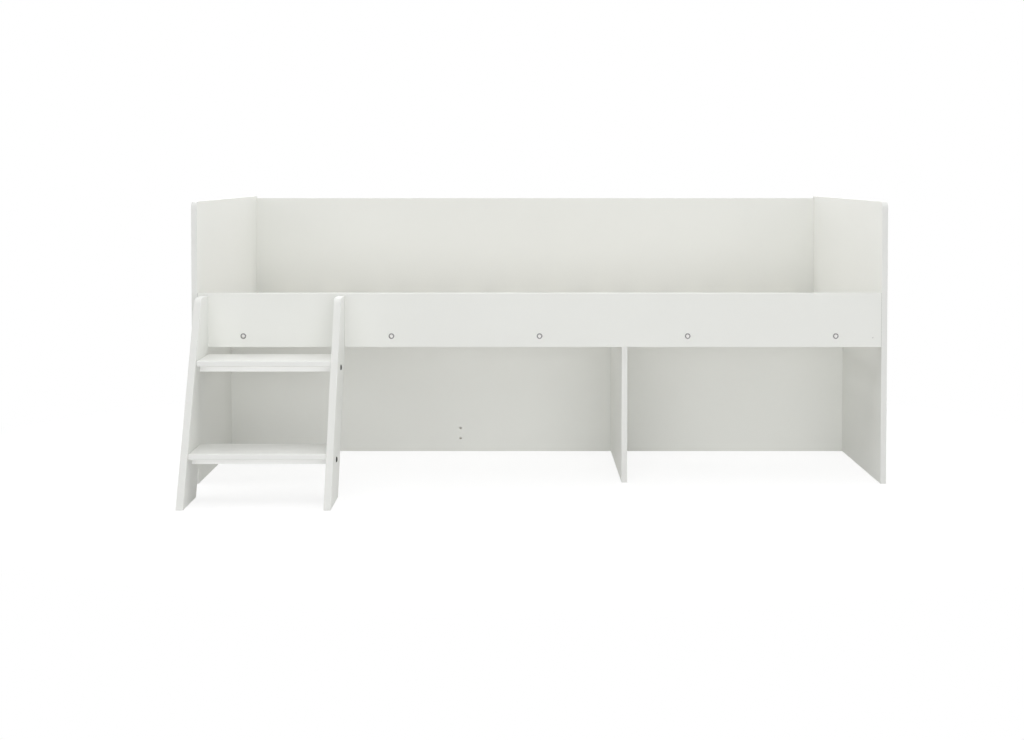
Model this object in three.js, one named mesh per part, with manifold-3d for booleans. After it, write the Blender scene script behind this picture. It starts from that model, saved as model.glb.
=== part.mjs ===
// A low cabin bed in white coated board, with a short two-tread ladder at its left front.
// Millimetres. X runs along the bed, Y from its front to its back, Z up. The origin lies on the
// floor, under the middle of the space that the bed and its ladder take up together.

import * as THREE from 'three';
import { mergeVertices } from 'three/addons/utils/BufferGeometryUtils.js';
import Module from 'manifold-3d';

const wasm = await Module();
wasm.setup();

// The bed as a whole. A 1900 by 900 mattress lies inside it with room for the bedding.
const BED_LENGTH = 1960;
const BED_DEPTH = 952;
const BED_HEIGHT = 798;
const BOARD = 16;
const END_PANEL_CORNER_RADIUS = 20;

// The front rail and the ledger behind it, which carries the front ends of the slats.
const RAIL_BOTTOM = 388;
const RAIL_HEIGHT = 152;
const RAIL_SETBACK = 1;
const LEDGER_RISE = 9;
const LEDGER_HEIGHT = 44;
const LEDGER_DEPTH = 22;

// The upper back panel, which guards the wall side and carries the back ledger. Its top lies a
// little below the tops of the end panels. It lies so far inside them that its bolt heads clear
// a wall that the end panels stand against.
const BACK_PANEL_DROP = 7;
const BACK_HEAD_CLEARANCE = 0.2;

// The panel that stands under the middle of the slats, and the divider in front of it.
const CENTRE_PANEL_SETBACK = 478;
const DIVIDER_X = 241;

// The slats.
const SLAT_COUNT = 12;
const SLAT_WIDTH = 80;
const SLAT_THICKNESS = 15;
const SLAT_END_GAP = 4;
const SLAT_SCREW_INSET = 8;
const SLAT_SCREW_RADIUS = 2.25;
const SLAT_SCREW_HEAD_RADIUS = 4.25;
const SLAT_SCREW_HEAD_DEPTH = 2.5;

// The ladder. Its two stringers are parallel boards that lean on the rail and end just below
// its top. The upper tread is set from the stringers' tops, and the lower one from the upper.
const LADDER_SIDE_GAP = 11;
const LADDER_WIDTH = 404;
const LADDER_TOP_DROP = 7;
const LADDER_LEAN = THREE.MathUtils.degToRad(24.2);
const STRINGER_THICKNESS = 19;
const STRINGER_TOP_DEPTH = 86;
const STRINGER_LEVEL_WIDTH = 157;
const STRINGER_CORNER_RADIUS = 25;
const TREAD_THICKNESS = 16;
const TREAD_SETBACK = 4;
const TREAD_RAIL_GAP = 5;
const UPPER_TREAD_DROP = 164;
const TREAD_RISE = 234;
const BEARER_HEIGHT = 19;
const BEARER_DEPTH = 28;
const BEARER_SETBACK = 45;
const BEARER_SCREW_RADIUS = 2.25;
const BEARER_SCREW_INSET = 90;

// All bolts have the same shank. The ones through the rail and the back are coach bolts, whose
// plain mushroom head shows outside and whose end stands out of the ledger for a nut.
const BOLT_RADIUS = 3;
const COACH_HEAD_RADIUS = 8;
const COACH_HEAD_HEIGHT = 2.8;
const COACH_RIM_HEIGHT = 0.6;
const COACH_NUT_ALLOWANCE = 9;

// The ladder's bolts have a low head with a six-sided socket, because they are turned from outside.
const SOCKET_HEAD_RADIUS = 7.5;
const SOCKET_RIM_HEIGHT = 1.2;
const SOCKET_CROWN_RADIUS = 4.5;
const SOCKET_HEAD_HEIGHT = 2.6;
const BOLT_SOCKET_WIDTH = 4;
const BOLT_SOCKET_DEPTH = 2;

// Where the bolts go: a row along each ledger, one at each bearer end, one in each stringer.
const LEDGER_BOLT_COUNT = 5;
const LEDGER_BOLT_END_INSET = 129;
const LADDER_BOLT_LENGTH = 50;
const LADDER_FIXING_DROP = 60;
const LADDER_FIXING_GRIP = 40;

// The barrel nut that each ladder bolt screws into, inside its bearer.
const BARREL_NUT_RADIUS = 5;
const BARREL_NUT_LENGTH = 14;
const BARREL_NUT_SETBACK = 25;

// The one-piece countersunk connector screw that joins board to board.
const CONNECTOR_LENGTH = 50;
const CONNECTOR_RADIUS = 3.5;
const CONNECTOR_TIP_RADIUS = 2.2;
const CONNECTOR_TIP_LENGTH = 3;
const CONNECTOR_HEAD_RADIUS = 5;
const CONNECTOR_HEAD_LENGTH = 4;
const CONNECTOR_NECK_LENGTH = 2;
const CONNECTOR_SOCKET_WIDTH = 4;
const CONNECTOR_SOCKET_DEPTH = 2.5;
const RAIL_CONNECTOR_INSET = 32;
const BACK_CONNECTOR_INSET = 60;
const CENTRE_CONNECTOR_INSET = 60;

// Blind holes in the centre panel, a mirror image of those at the divider, so that it can
// change sides. At each end of the divider a dowel hole has a screw's pilot hole beside it.
const LOW_DOWEL_INSET = 42;
const HIGH_DOWEL_INSET = 25;
const DOWEL_TO_SCREW = 32;
const SPARE_HOLE_RADIUS = 4;
const SPARE_HOLE_DEPTH = 12;

// A shallow drill mark near the right end of the rail.
const DRILL_MARK_INSET = 24;
const DRILL_MARK_RISE = 26;
const DRILL_MARK_RADIUS = 1.75;
const DRILL_MARK_DEPTH = 3;

// Clearances, and the number of flats that stand for a circle.
const CLEARANCE = 0.3;
const ROUND_FLATS = 12;
const HEAD_FLATS = 16;
const DOME_RINGS = 3;
const CORNER_FLATS = 10;
const CUT_OVERRUN = 1;

// Places that several pieces share.
const halfLength = BED_LENGTH / 2;
const innerHalf = halfLength - BOARD;
const railTop = RAIL_BOTTOM + RAIL_HEIGHT;
const backTop = BED_HEIGHT - BACK_PANEL_DROP;
const ladderHeight = railTop - LADDER_TOP_DROP;
const ladderReach = STRINGER_TOP_DEPTH + ladderHeight * Math.tan(LADDER_LEAN);
const frontY = (ladderReach - RAIL_SETBACK - BED_DEPTH) / 2;
const railFaceY = frontY + RAIL_SETBACK;
const railRearY = railFaceY + BOARD;
const backRearY = frontY + BED_DEPTH - COACH_HEAD_HEIGHT - BACK_HEAD_CLEARANCE;
const backFaceY = backRearY - BOARD;
const centreFaceY = frontY + CENTRE_PANEL_SETBACK;
const centreRearY = centreFaceY + BOARD;
const ledgerBottom = RAIL_BOTTOM + LEDGER_RISE;
const ledgerTop = ledgerBottom + LEDGER_HEIGHT;
const ledgerMiddle = ledgerBottom + LEDGER_HEIGHT / 2;
const ladderLeftX = -innerHalf + LADDER_SIDE_GAP;
const ladderRightX = ladderLeftX + LADDER_WIDTH;
const treadLeftX = ladderLeftX + STRINGER_THICKNESS;
const treadLength = LADDER_WIDTH - 2 * STRINGER_THICKNESS;
const upperTreadTop = ladderHeight - UPPER_TREAD_DROP;
const lowerTreadTop = upperTreadTop - TREAD_RISE;

// Both treads are cut alike. The upper one fills the ladder's depth in front of the rail.
const treadDepth = stringerFront(upperTreadTop) - TREAD_SETBACK - TREAD_RAIL_GAP;

// Finishes.
const whiteBoard = new THREE.MeshStandardMaterial({ color: 0xe0e1db, roughness: 0.45, metalness: 0 });
const pine = new THREE.MeshStandardMaterial({ color: 0xe6dfd0, roughness: 0.6, metalness: 0 });
const nickel = new THREE.MeshStandardMaterial({ color: 0xc8c8c4, roughness: 0.25, metalness: 1 });
const darkSteel = new THREE.MeshStandardMaterial({ color: 0x666663, roughness: 0.35, metalness: 1 });
const zinc = new THREE.MeshStandardMaterial({ color: 0xa9abab, roughness: 0.4, metalness: 1 });

const bed = new THREE.Group();

// Solids and cutting

// Turns a closed geometry into a solid, leaving out the flat triangles that a lathe has at its axis.
function toSolid(geometry) {
  const bare = geometry.clone();
  bare.deleteAttribute('normal');
  bare.deleteAttribute('uv');
  const merged = mergeVertices(bare);
  const corners = merged.index.array;
  const triangles = [];
  for (let i = 0; i < corners.length; i += 3) {
    const [a, b, c] = corners.slice(i, i + 3);
    if (a !== b && b !== c && c !== a) triangles.push(a, b, c);
  }
  return new wasm.Manifold(new wasm.Mesh({
    numProp: 3,
    vertProperties: new Float32Array(merged.attributes.position.array),
    triVerts: new Uint32Array(triangles),
  }));
}

function toGeometry(solid) {
  const mesh = solid.getMesh();
  const geometry = new THREE.BufferGeometry();
  geometry.setAttribute('position', new THREE.BufferAttribute(mesh.vertProperties, mesh.numProp));
  geometry.setIndex(new THREE.BufferAttribute(mesh.triVerts, 1));
  geometry.computeVertexNormals();
  return geometry;
}

function cut(geometry, cutters) {
  let solid = toSolid(geometry);
  for (const cutter of cutters) solid = solid.subtract(toSolid(cutter));
  return toGeometry(solid);
}

// A straight hole that starts at a face and runs a given depth into it.
function drill(mouth, toward, radius, depth) {
  const length = depth + CUT_OVERRUN;
  const bit = new THREE.CylinderGeometry(radius, radius, length, ROUND_FLATS);
  bit.translate(0, length / 2 - CUT_OVERRUN, 0);
  return aim(bit, mouth, toward);
}

// Turns a geometry that was made along +Y to point another way, and moves it to its place.
function aim(geometry, at, toward) {
  const turn = new THREE.Quaternion().setFromUnitVectors(new THREE.Vector3(0, 1, 0), toward);
  return geometry.clone().applyQuaternion(turn).translate(at.x, at.y, at.z);
}

const RIGHT = new THREE.Vector3(1, 0, 0);
const LEFT = new THREE.Vector3(-1, 0, 0);
const BACKWARD = new THREE.Vector3(0, 1, 0);
const FORWARD = new THREE.Vector3(0, -1, 0);
const UP = new THREE.Vector3(0, 0, 1);
const DOWN = new THREE.Vector3(0, 0, -1);

// Adds a piece whose geometry has its own corner as its origin. Cutters are given in the bed's
// own places, so each is moved to the piece before it cuts.
function addPiece(name, geometry, corner, material, cutters = []) {
  const local = cutters.map((cutter) => cutter.clone().translate(-corner.x, -corner.y, -corner.z));
  const mesh = new THREE.Mesh(local.length ? cut(geometry, local) : geometry, material);
  mesh.name = name;
  mesh.position.copy(corner);
  bed.add(mesh);
}

// A plain board or batten with its lowest corner at its origin.
function plank(length, depth, height) {
  return new THREE.BoxGeometry(length, depth, height).translate(length / 2, depth / 2, height / 2);
}

// A flat shape drawn in Y and Z, made as thick as a board along X.
function upright(outline, thickness) {
  const turned = new THREE.Matrix4().makeBasis(BACKWARD, UP, RIGHT);
  const settings = { depth: thickness, bevelEnabled: false, curveSegments: CORNER_FLATS };
  return new THREE.ExtrudeGeometry(outline, settings).applyMatrix4(turned);
}

// Fasteners

// A round solid from pairs of a radius and a place along +Y, starting and ending on the axis.
function lathe(profile, flats) {
  return new THREE.LatheGeometry(profile.map(([radius, along]) => new THREE.Vector2(radius, along)), flats);
}

// A bolt under its head: the underside of the head is at zero, and the shank runs along +Y.
function shank(headRadius, length) {
  return [[headRadius, 0], [BOLT_RADIUS, 0], [BOLT_RADIUS, length], [0, length]];
}

// The mushroom head of a coach bolt is part of a ball that stands on a thin rim.
function coachBolt(length) {
  const rise = COACH_HEAD_HEIGHT - COACH_RIM_HEIGHT;
  const ballRadius = (COACH_HEAD_RADIUS ** 2 + rise ** 2) / (2 * rise);
  const widest = Math.asin(COACH_HEAD_RADIUS / ballRadius);
  const dome = Array.from({ length: DOME_RINGS + 1 }, (_, i) => {
    const angle = widest * i / DOME_RINGS;
    return [ballRadius * Math.sin(angle), ballRadius * (1 - Math.cos(angle)) - COACH_HEAD_HEIGHT];
  });
  return lathe([...dome, ...shank(COACH_HEAD_RADIUS, length)], HEAD_FLATS);
}

function socketBolt(length) {
  const head = [
    [0, -SOCKET_HEAD_HEIGHT],
    [SOCKET_CROWN_RADIUS, -SOCKET_HEAD_HEIGHT],
    [SOCKET_HEAD_RADIUS, -SOCKET_RIM_HEIGHT],
  ];
  const body = lathe([...head, ...shank(SOCKET_HEAD_RADIUS, length)], HEAD_FLATS);
  return cut(body, [socket(BOLT_SOCKET_WIDTH, -SOCKET_HEAD_HEIGHT, BOLT_SOCKET_DEPTH)]);
}

// A connector with the face of its head at the start, as it is or enlarged by a gap.
function connectorBody(start, gap) {
  const neck = CONNECTOR_HEAD_LENGTH + CONNECTOR_NECK_LENGTH;
  return lathe([
    [0, start],
    [CONNECTOR_HEAD_RADIUS + gap, start],
    [CONNECTOR_HEAD_RADIUS + gap, CONNECTOR_HEAD_LENGTH + gap],
    [CONNECTOR_RADIUS + gap, neck + gap],
    [CONNECTOR_RADIUS + gap, CONNECTOR_LENGTH - CONNECTOR_TIP_LENGTH],
    [CONNECTOR_TIP_RADIUS + gap, CONNECTOR_LENGTH + gap],
    [0, CONNECTOR_LENGTH + gap],
  ], ROUND_FLATS);
}

// The six-sided socket in a fastener's head, cut from its outer end inwards.
function socket(acrossFlats, start, depth) {
  const radius = acrossFlats / Math.sqrt(3);
  const length = depth + CUT_OVERRUN;
  const key = new THREE.CylinderGeometry(radius, radius, length, 6);
  return key.translate(0, start + length / 2 - CUT_OVERRUN, 0);
}

function connectorGeometry() {
  return cut(connectorBody(0, 0), [socket(CONNECTOR_SOCKET_WIDTH, 0, CONNECTOR_SOCKET_DEPTH)]);
}

function addFastener(name, geometry, at, toward, material) {
  const mesh = new THREE.Mesh(geometry, material);
  mesh.name = name;
  mesh.position.copy(at);
  mesh.quaternion.setFromUnitVectors(new THREE.Vector3(0, 1, 0), toward);
  bed.add(mesh);
}

// Adds a bolt and gives back the hole that every piece along it needs.
function addBolt(name, makeBolt, finish, at, toward, length) {
  addFastener(name, makeBolt(length), at, toward, finish);
  return drill(at, toward, BOLT_RADIUS + CLEARANCE, length + CLEARANCE);
}

// Adds a connector and gives back its own outline, a little larger, to cut the boards with.
function addConnector(name, at, toward) {
  addFastener(name, connectorGeometry(), at, toward, zinc);
  return aim(connectorBody(-CUT_OVERRUN, CLEARANCE), at, toward);
}

// The rail, the back and their ledgers

function ledgerBolts(prefix, faceY, toward) {
  const length = BOARD + LEDGER_DEPTH + COACH_NUT_ALLOWANCE;
  const first = -innerHalf + LEDGER_BOLT_END_INSET;
  const pitch = -2 * first / (LEDGER_BOLT_COUNT - 1);
  const holes = [];
  for (let i = 0; i < LEDGER_BOLT_COUNT; i += 1) {
    const at = new THREE.Vector3(first + i * pitch, faceY, ledgerMiddle);
    holes.push(addBolt(`${prefix}_bolt_${i + 1}`, coachBolt, nickel, at, toward, length));
  }
  return holes;
}

// A pair of connectors, one above the other, through each end panel into a board between them.
function endConnectors(prefix, middleY, low, high) {
  const holes = [];
  for (const [side, toward] of [['left', RIGHT], ['right', LEFT]]) {
    for (const [level, z] of [['lower', low], ['upper', high]]) {
      const at = new THREE.Vector3(-toward.x * halfLength, middleY, z);
      holes.push(addConnector(`${prefix}_connector_${side}_${level}`, at, toward));
    }
  }
  return holes;
}

const railBoltHoles = ledgerBolts('rail', railFaceY, BACKWARD);
const backBoltHoles = ledgerBolts('back', backRearY, FORWARD);

const railConnectorHoles = endConnectors(
  'rail', railFaceY + BOARD / 2, RAIL_BOTTOM + RAIL_CONNECTOR_INSET, railTop - RAIL_CONNECTOR_INSET,
);
const backConnectorHoles = endConnectors(
  'back', backRearY - BOARD / 2, RAIL_BOTTOM + BACK_CONNECTOR_INSET, backTop - BACK_CONNECTOR_INSET,
);
const centreConnectorHoles = endConnectors(
  'centre', centreFaceY + BOARD / 2, CENTRE_CONNECTOR_INSET, ledgerTop - CENTRE_CONNECTOR_INSET,
);

// The ladder is held by one bolt through the rail into the back edge of each stringer.
function ladderFixing(side, leftX) {
  const at = new THREE.Vector3(leftX + STRINGER_THICKNESS / 2, railRearY, railTop - LADDER_FIXING_DROP);
  const length = BOARD + LADDER_FIXING_GRIP;
  return addBolt(`ladder_fixing_bolt_${side}`, socketBolt, darkSteel, at, FORWARD, length);
}

const leftFixingHole = ladderFixing('left', ladderLeftX);
const rightFixingHole = ladderFixing('right', ladderRightX - STRINGER_THICKNESS);

const drillMark = drill(
  new THREE.Vector3(innerHalf - DRILL_MARK_INSET, railFaceY, RAIL_BOTTOM + DRILL_MARK_RISE),
  BACKWARD, DRILL_MARK_RADIUS, DRILL_MARK_DEPTH,
);

addPiece(
  'front_rail', plank(2 * innerHalf, BOARD, RAIL_HEIGHT),
  new THREE.Vector3(-innerHalf, railFaceY, RAIL_BOTTOM), whiteBoard,
  [...railBoltHoles, ...railConnectorHoles, leftFixingHole, rightFixingHole, drillMark],
);
addPiece(
  'upper_back_panel', plank(2 * innerHalf, BOARD, backTop - RAIL_BOTTOM),
  new THREE.Vector3(-innerHalf, backFaceY, RAIL_BOTTOM), whiteBoard,
  [...backBoltHoles, ...backConnectorHoles],
);
addPiece(
  'front_slat_ledger', plank(2 * innerHalf, LEDGER_DEPTH, LEDGER_HEIGHT),
  new THREE.Vector3(-innerHalf, railRearY, ledgerBottom), pine, railBoltHoles,
);
addPiece(
  'back_slat_ledger', plank(2 * innerHalf, LEDGER_DEPTH, LEDGER_HEIGHT),
  new THREE.Vector3(-innerHalf, backFaceY - LEDGER_DEPTH, ledgerBottom), pine, backBoltHoles,
);

// The end panels, with only their top front corners rounded

function endPanelOutline() {
  const radius = END_PANEL_CORNER_RADIUS;
  const outline = new THREE.Shape();
  outline.moveTo(0, 0);
  outline.lineTo(BED_DEPTH, 0);
  outline.lineTo(BED_DEPTH, BED_HEIGHT);
  outline.lineTo(radius, BED_HEIGHT);
  outline.absarc(radius, BED_HEIGHT - radius, radius, Math.PI / 2, Math.PI, false);
  return outline;
}

const endHoles = [...railConnectorHoles, ...backConnectorHoles, ...centreConnectorHoles];
for (const [side, leftX] of [['left', -halfLength], ['right', innerHalf]]) {
  const corner = new THREE.Vector3(leftX, frontY, 0);
  addPiece(`${side}_end_panel`, upright(endPanelOutline(), BOARD), corner, whiteBoard, endHoles);
}

// The centre panel and the divider

const dowelHeights = [LOW_DOWEL_INSET, ledgerBottom - HIGH_DOWEL_INSET];
const screwHeights = [dowelHeights[0] + DOWEL_TO_SCREW, dowelHeights[1] - DOWEL_TO_SCREW];

const dividerHoles = ['lower', 'upper'].map((level, i) => addConnector(
  `divider_connector_${level}`, new THREE.Vector3(DIVIDER_X, centreRearY, screwHeights[i]), FORWARD,
));
const spareHoles = [...dowelHeights, ...screwHeights].map((z) => drill(
  new THREE.Vector3(-DIVIDER_X, centreFaceY, z), BACKWARD, SPARE_HOLE_RADIUS, SPARE_HOLE_DEPTH,
));

addPiece(
  'centre_panel', plank(2 * innerHalf, BOARD, ledgerTop), new THREE.Vector3(-innerHalf, centreFaceY, 0),
  whiteBoard, [...centreConnectorHoles, ...dividerHoles, ...spareHoles],
);
addPiece(
  'divider_panel', plank(BOARD, centreFaceY - railRearY, ledgerBottom),
  new THREE.Vector3(DIVIDER_X - BOARD / 2, railRearY, 0), whiteBoard, dividerHoles,
);

// The slats, each held down by a countersunk screw at either end

function slatHoles(middleX, frontEndY, backEndY) {
  const hole = lathe([
    [0, -CUT_OVERRUN],
    [SLAT_SCREW_HEAD_RADIUS, -CUT_OVERRUN],
    [SLAT_SCREW_HEAD_RADIUS, 0],
    [SLAT_SCREW_RADIUS, SLAT_SCREW_HEAD_DEPTH],
    [SLAT_SCREW_RADIUS, SLAT_THICKNESS + CUT_OVERRUN],
    [0, SLAT_THICKNESS + CUT_OVERRUN],
  ], ROUND_FLATS);
  return [frontEndY + SLAT_SCREW_INSET, backEndY - SLAT_SCREW_INSET].map(
    (y) => aim(hole, new THREE.Vector3(middleX, y, ledgerTop + SLAT_THICKNESS), DOWN),
  );
}

function addSlats() {
  const gap = (2 * innerHalf - SLAT_COUNT * SLAT_WIDTH) / (SLAT_COUNT + 1);
  const frontEndY = railRearY + SLAT_END_GAP;
  const backEndY = backFaceY - SLAT_END_GAP;
  for (let i = 0; i < SLAT_COUNT; i += 1) {
    const leftX = -innerHalf + gap + i * (SLAT_WIDTH + gap);
    const name = `slat_${String(i + 1).padStart(2, '0')}`;
    const corner = new THREE.Vector3(leftX, frontEndY, ledgerTop);
    const slat = plank(SLAT_WIDTH, backEndY - frontEndY, SLAT_THICKNESS);
    addPiece(name, slat, corner, pine, slatHoles(leftX + SLAT_WIDTH / 2, frontEndY, backEndY));
  }
}

addSlats();

// The ladder

// How far in front of the rail the leaning front edge of a stringer is, at a given height.
function stringerFront(z) {
  return ladderReach - z * Math.tan(LADDER_LEAN);
}

// The outline has Y negative in front of the rail, and the rail's face at zero.
function stringerOutline() {
  const footBack = ladderReach - STRINGER_LEVEL_WIDTH;
  const kneeHeight = footBack / Math.tan(LADDER_LEAN);
  const radius = STRINGER_CORNER_RADIUS;
  const tangent = radius * Math.tan((Math.PI / 2 - LADDER_LEAN) / 2);
  const arcCentre = new THREE.Vector2(-STRINGER_TOP_DEPTH + tangent, ladderHeight - radius);
  const outline = new THREE.Shape();
  outline.moveTo(-ladderReach, 0);
  outline.lineTo(-footBack, 0);
  outline.lineTo(0, kneeHeight);
  outline.lineTo(0, ladderHeight);
  outline.lineTo(arcCentre.x, ladderHeight);
  outline.absarc(arcCentre.x, arcCentre.y, radius, Math.PI / 2, Math.PI - LADDER_LEAN, false);
  return outline;
}

// A tread between the stringers, with the bearer that carries it and the bearer's two bolts.
function addTread(level, top) {
  const frontEdgeY = railFaceY - stringerFront(top) + TREAD_SETBACK;
  const treadCorner = new THREE.Vector3(treadLeftX, frontEdgeY, top - TREAD_THICKNESS);
  addPiece(`${level}_tread`, plank(treadLength, treadDepth, TREAD_THICKNESS), treadCorner, whiteBoard);

  const bearerTop = top - TREAD_THICKNESS;
  const bearerBottom = bearerTop - BEARER_HEIGHT;
  const bearerFrontY = frontEdgeY + BEARER_SETBACK;
  const middleY = bearerFrontY + BEARER_DEPTH / 2;
  const middleZ = bearerTop - BEARER_HEIGHT / 2;
  const cutters = [];
  const stringerHoles = {};
  for (const [side, outerX, toward] of [['left', ladderLeftX, RIGHT], ['right', ladderRightX, LEFT]]) {
    const at = new THREE.Vector3(outerX, middleY, middleZ);
    const name = `ladder_bolt_${side}_${level}`;
    stringerHoles[side] = addBolt(name, socketBolt, darkSteel, at, toward, LADDER_BOLT_LENGTH);
    const nutX = outerX + toward.x * (STRINGER_THICKNESS + BARREL_NUT_SETBACK);
    addBarrelNut(`barrel_nut_${side}_${level}`, new THREE.Vector3(nutX, middleY, middleZ));
    const nutHoleDepth = (BEARER_HEIGHT + BARREL_NUT_LENGTH) / 2 + CLEARANCE;
    const nutMouth = new THREE.Vector3(nutX, middleY, bearerBottom);
    cutters.push(stringerHoles[side], drill(nutMouth, UP, BARREL_NUT_RADIUS + CLEARANCE, nutHoleDepth));
    const screwX = outerX + toward.x * (STRINGER_THICKNESS + BEARER_SCREW_INSET);
    const screwMouth = new THREE.Vector3(screwX, middleY, bearerBottom);
    cutters.push(drill(screwMouth, UP, BEARER_SCREW_RADIUS, BEARER_HEIGHT + CUT_OVERRUN));
  }
  const bearerCorner = new THREE.Vector3(treadLeftX, bearerFrontY, bearerBottom);
  const bearer = plank(treadLength, BEARER_DEPTH, BEARER_HEIGHT);
  addPiece(`${level}_tread_bearer`, bearer, bearerCorner, whiteBoard, cutters);
  return stringerHoles;
}

// A short upright cylinder, cross-drilled for the bolt.
function addBarrelNut(name, at) {
  const barrel = new THREE.CylinderGeometry(
    BARREL_NUT_RADIUS, BARREL_NUT_RADIUS, BARREL_NUT_LENGTH, ROUND_FLATS,
  ).rotateX(Math.PI / 2);
  const halfHole = new THREE.Vector3(-BARREL_NUT_RADIUS, 0, 0);
  const throughHole = drill(halfHole, RIGHT, BOLT_RADIUS + CLEARANCE, 2 * BARREL_NUT_RADIUS + CUT_OVERRUN);
  const mesh = new THREE.Mesh(cut(barrel, [throughHole]), zinc);
  mesh.name = name;
  mesh.position.copy(at);
  bed.add(mesh);
}

const lowerHoles = addTread('lower', lowerTreadTop);
const upperHoles = addTread('upper', upperTreadTop);

for (const [side, leftX, fixingHole] of [
  ['left', ladderLeftX, leftFixingHole],
  ['right', ladderRightX - STRINGER_THICKNESS, rightFixingHole],
]) {
  const board = upright(stringerOutline(), STRINGER_THICKNESS);
  const corner = new THREE.Vector3(leftX, railFaceY, 0);
  const holes = [lowerHoles[side], upperHoles[side], fixingHole];
  addPiece(`ladder_stringer_${side}`, board, corner, whiteBoard, holes);
}

export default bed;
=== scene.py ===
# %% [markdown]
# # A low cabin bed in white board
#
# The bed is flat boards, pine slats and a few plated fasteners. Its joinery is fixed already, so
# every board that we load is right in size and place. What is missing is what an eye looks for:
# soft arrises, a coated surface, wood grain, bright bolt heads and the small hardware.

# %% Load the bed
import math

import bmesh
import bpy
from mathutils import Matrix, Vector


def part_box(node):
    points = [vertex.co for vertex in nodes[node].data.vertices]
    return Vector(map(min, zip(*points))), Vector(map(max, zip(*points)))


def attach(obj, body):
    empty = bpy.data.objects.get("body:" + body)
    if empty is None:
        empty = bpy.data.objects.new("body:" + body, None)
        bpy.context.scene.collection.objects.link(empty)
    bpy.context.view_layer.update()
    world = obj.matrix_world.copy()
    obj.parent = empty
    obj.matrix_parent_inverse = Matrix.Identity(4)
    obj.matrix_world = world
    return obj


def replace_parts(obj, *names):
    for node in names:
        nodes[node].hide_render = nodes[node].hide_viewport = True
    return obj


MM = 0.001

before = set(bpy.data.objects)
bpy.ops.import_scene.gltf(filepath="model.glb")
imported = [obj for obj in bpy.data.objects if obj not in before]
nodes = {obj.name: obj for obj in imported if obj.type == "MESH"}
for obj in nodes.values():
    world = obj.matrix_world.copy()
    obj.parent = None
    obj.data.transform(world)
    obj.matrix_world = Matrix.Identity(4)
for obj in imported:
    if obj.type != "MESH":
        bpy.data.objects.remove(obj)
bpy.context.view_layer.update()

# %% [markdown]
# ## Sorting the pieces
#
# Boards of one make share one finish, so the nodes are sorted by their names. A ladder board is
# eased more than a bed board: it is touched by bare feet.

# %% Sort the pieces
END_PANELS = ["left_end_panel", "right_end_panel"]
DIVIDER = "divider_panel"
RAIL, BACK, CENTRE = "front_rail", "upper_back_panel", "centre_panel"
STRINGERS = ["ladder_stringer_left", "ladder_stringer_right"]
TREADS = ["upper_tread", "lower_tread"]
BEARERS = ["upper_tread_bearer", "lower_tread_bearer"]
LEDGERS = ["front_slat_ledger", "back_slat_ledger"]
SLATS = sorted(name for name in nodes if name.startswith("slat_"))
RAIL_BOLTS = sorted(name for name in nodes if name.startswith("rail_bolt_"))
BACK_BOLTS = sorted(name for name in nodes if name.startswith("back_bolt_"))
LADDER_BOLTS = sorted(name for name in nodes if name.startswith("ladder_bolt_"))
FIXING_BOLTS = sorted(name for name in nodes if name.startswith("ladder_fixing_bolt_"))
CONNECTORS = sorted(name for name in nodes if "_connector_" in name)
BARREL_NUTS = sorted(name for name in nodes if name.startswith("barrel_nut_"))
sorted_names = sum(
    [END_PANELS, [DIVIDER, RAIL, BACK, CENTRE], STRINGERS, TREADS, BEARERS, LEDGERS, SLATS,
     RAIL_BOLTS, BACK_BOLTS, LADDER_BOLTS, FIXING_BOLTS, CONNECTORS, BARREL_NUTS], [],
)
print("sorted", len(sorted_names), "of", len(nodes), "nodes")

# %% [markdown]
# ## The camera
#
# The picture is taken from four metres in front of the bed, from a little above it. The camera
# tilts down by less than two degrees, and a shift of its lens frames the rest, so the boards'
# upright edges stay almost upright.

# %% Set the camera
PICTURE_WIDTH, PICTURE_HEIGHT = 1024, 740
SENSOR_WIDTH = 36.0
FOCAL_PIXELS = 1443.4
AXIS_PIXEL = (515.7, 216.9)
CAMERA_X = -0.0672
CAMERA_HEIGHT = 0.881
CAMERA_DISTANCE = 4.056
CAMERA_PITCH = math.radians(1.777)

bed_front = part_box("left_end_panel")[0].y
camera_data = bpy.data.cameras.new("camera")
camera_data.sensor_width = SENSOR_WIDTH
camera_data.lens = SENSOR_WIDTH * FOCAL_PIXELS / PICTURE_WIDTH
camera_data.shift_x = (PICTURE_WIDTH / 2 - AXIS_PIXEL[0]) / PICTURE_WIDTH
camera_data.shift_y = (AXIS_PIXEL[1] - PICTURE_HEIGHT / 2) / PICTURE_WIDTH
camera = bpy.data.objects.new("camera", camera_data)
camera.location = (CAMERA_X, bed_front - CAMERA_DISTANCE, CAMERA_HEIGHT)
camera.rotation_euler = (math.pi / 2 - CAMERA_PITCH, 0, 0)
bpy.context.scene.collection.objects.link(camera)
bpy.context.scene.camera = camera
bpy.context.scene.view_settings.view_transform = "Standard"
print("lens", round(camera_data.lens, 2), "mm")

# %% [markdown]
# ## Helpers for materials
#
# A material is a graph of nodes. These helpers keep each graph below short. They add a node with
# its plain values, make and place a group with named sockets, do a sum, blend two colours, map one
# range to another, and give the point being shaded.

# %% Helpers for materials
def add_node(tree, kind, attributes=None, **values):
    """Adds a node, sets its attributes, and sets inputs by name where spaces are underscores."""
    node = tree.nodes.new(kind)
    for name, value in (attributes or {}).items():
        setattr(node, name, value)
    for name, value in values.items():
        node.inputs[name.replace("_", " ")].default_value = value
    return node


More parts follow.
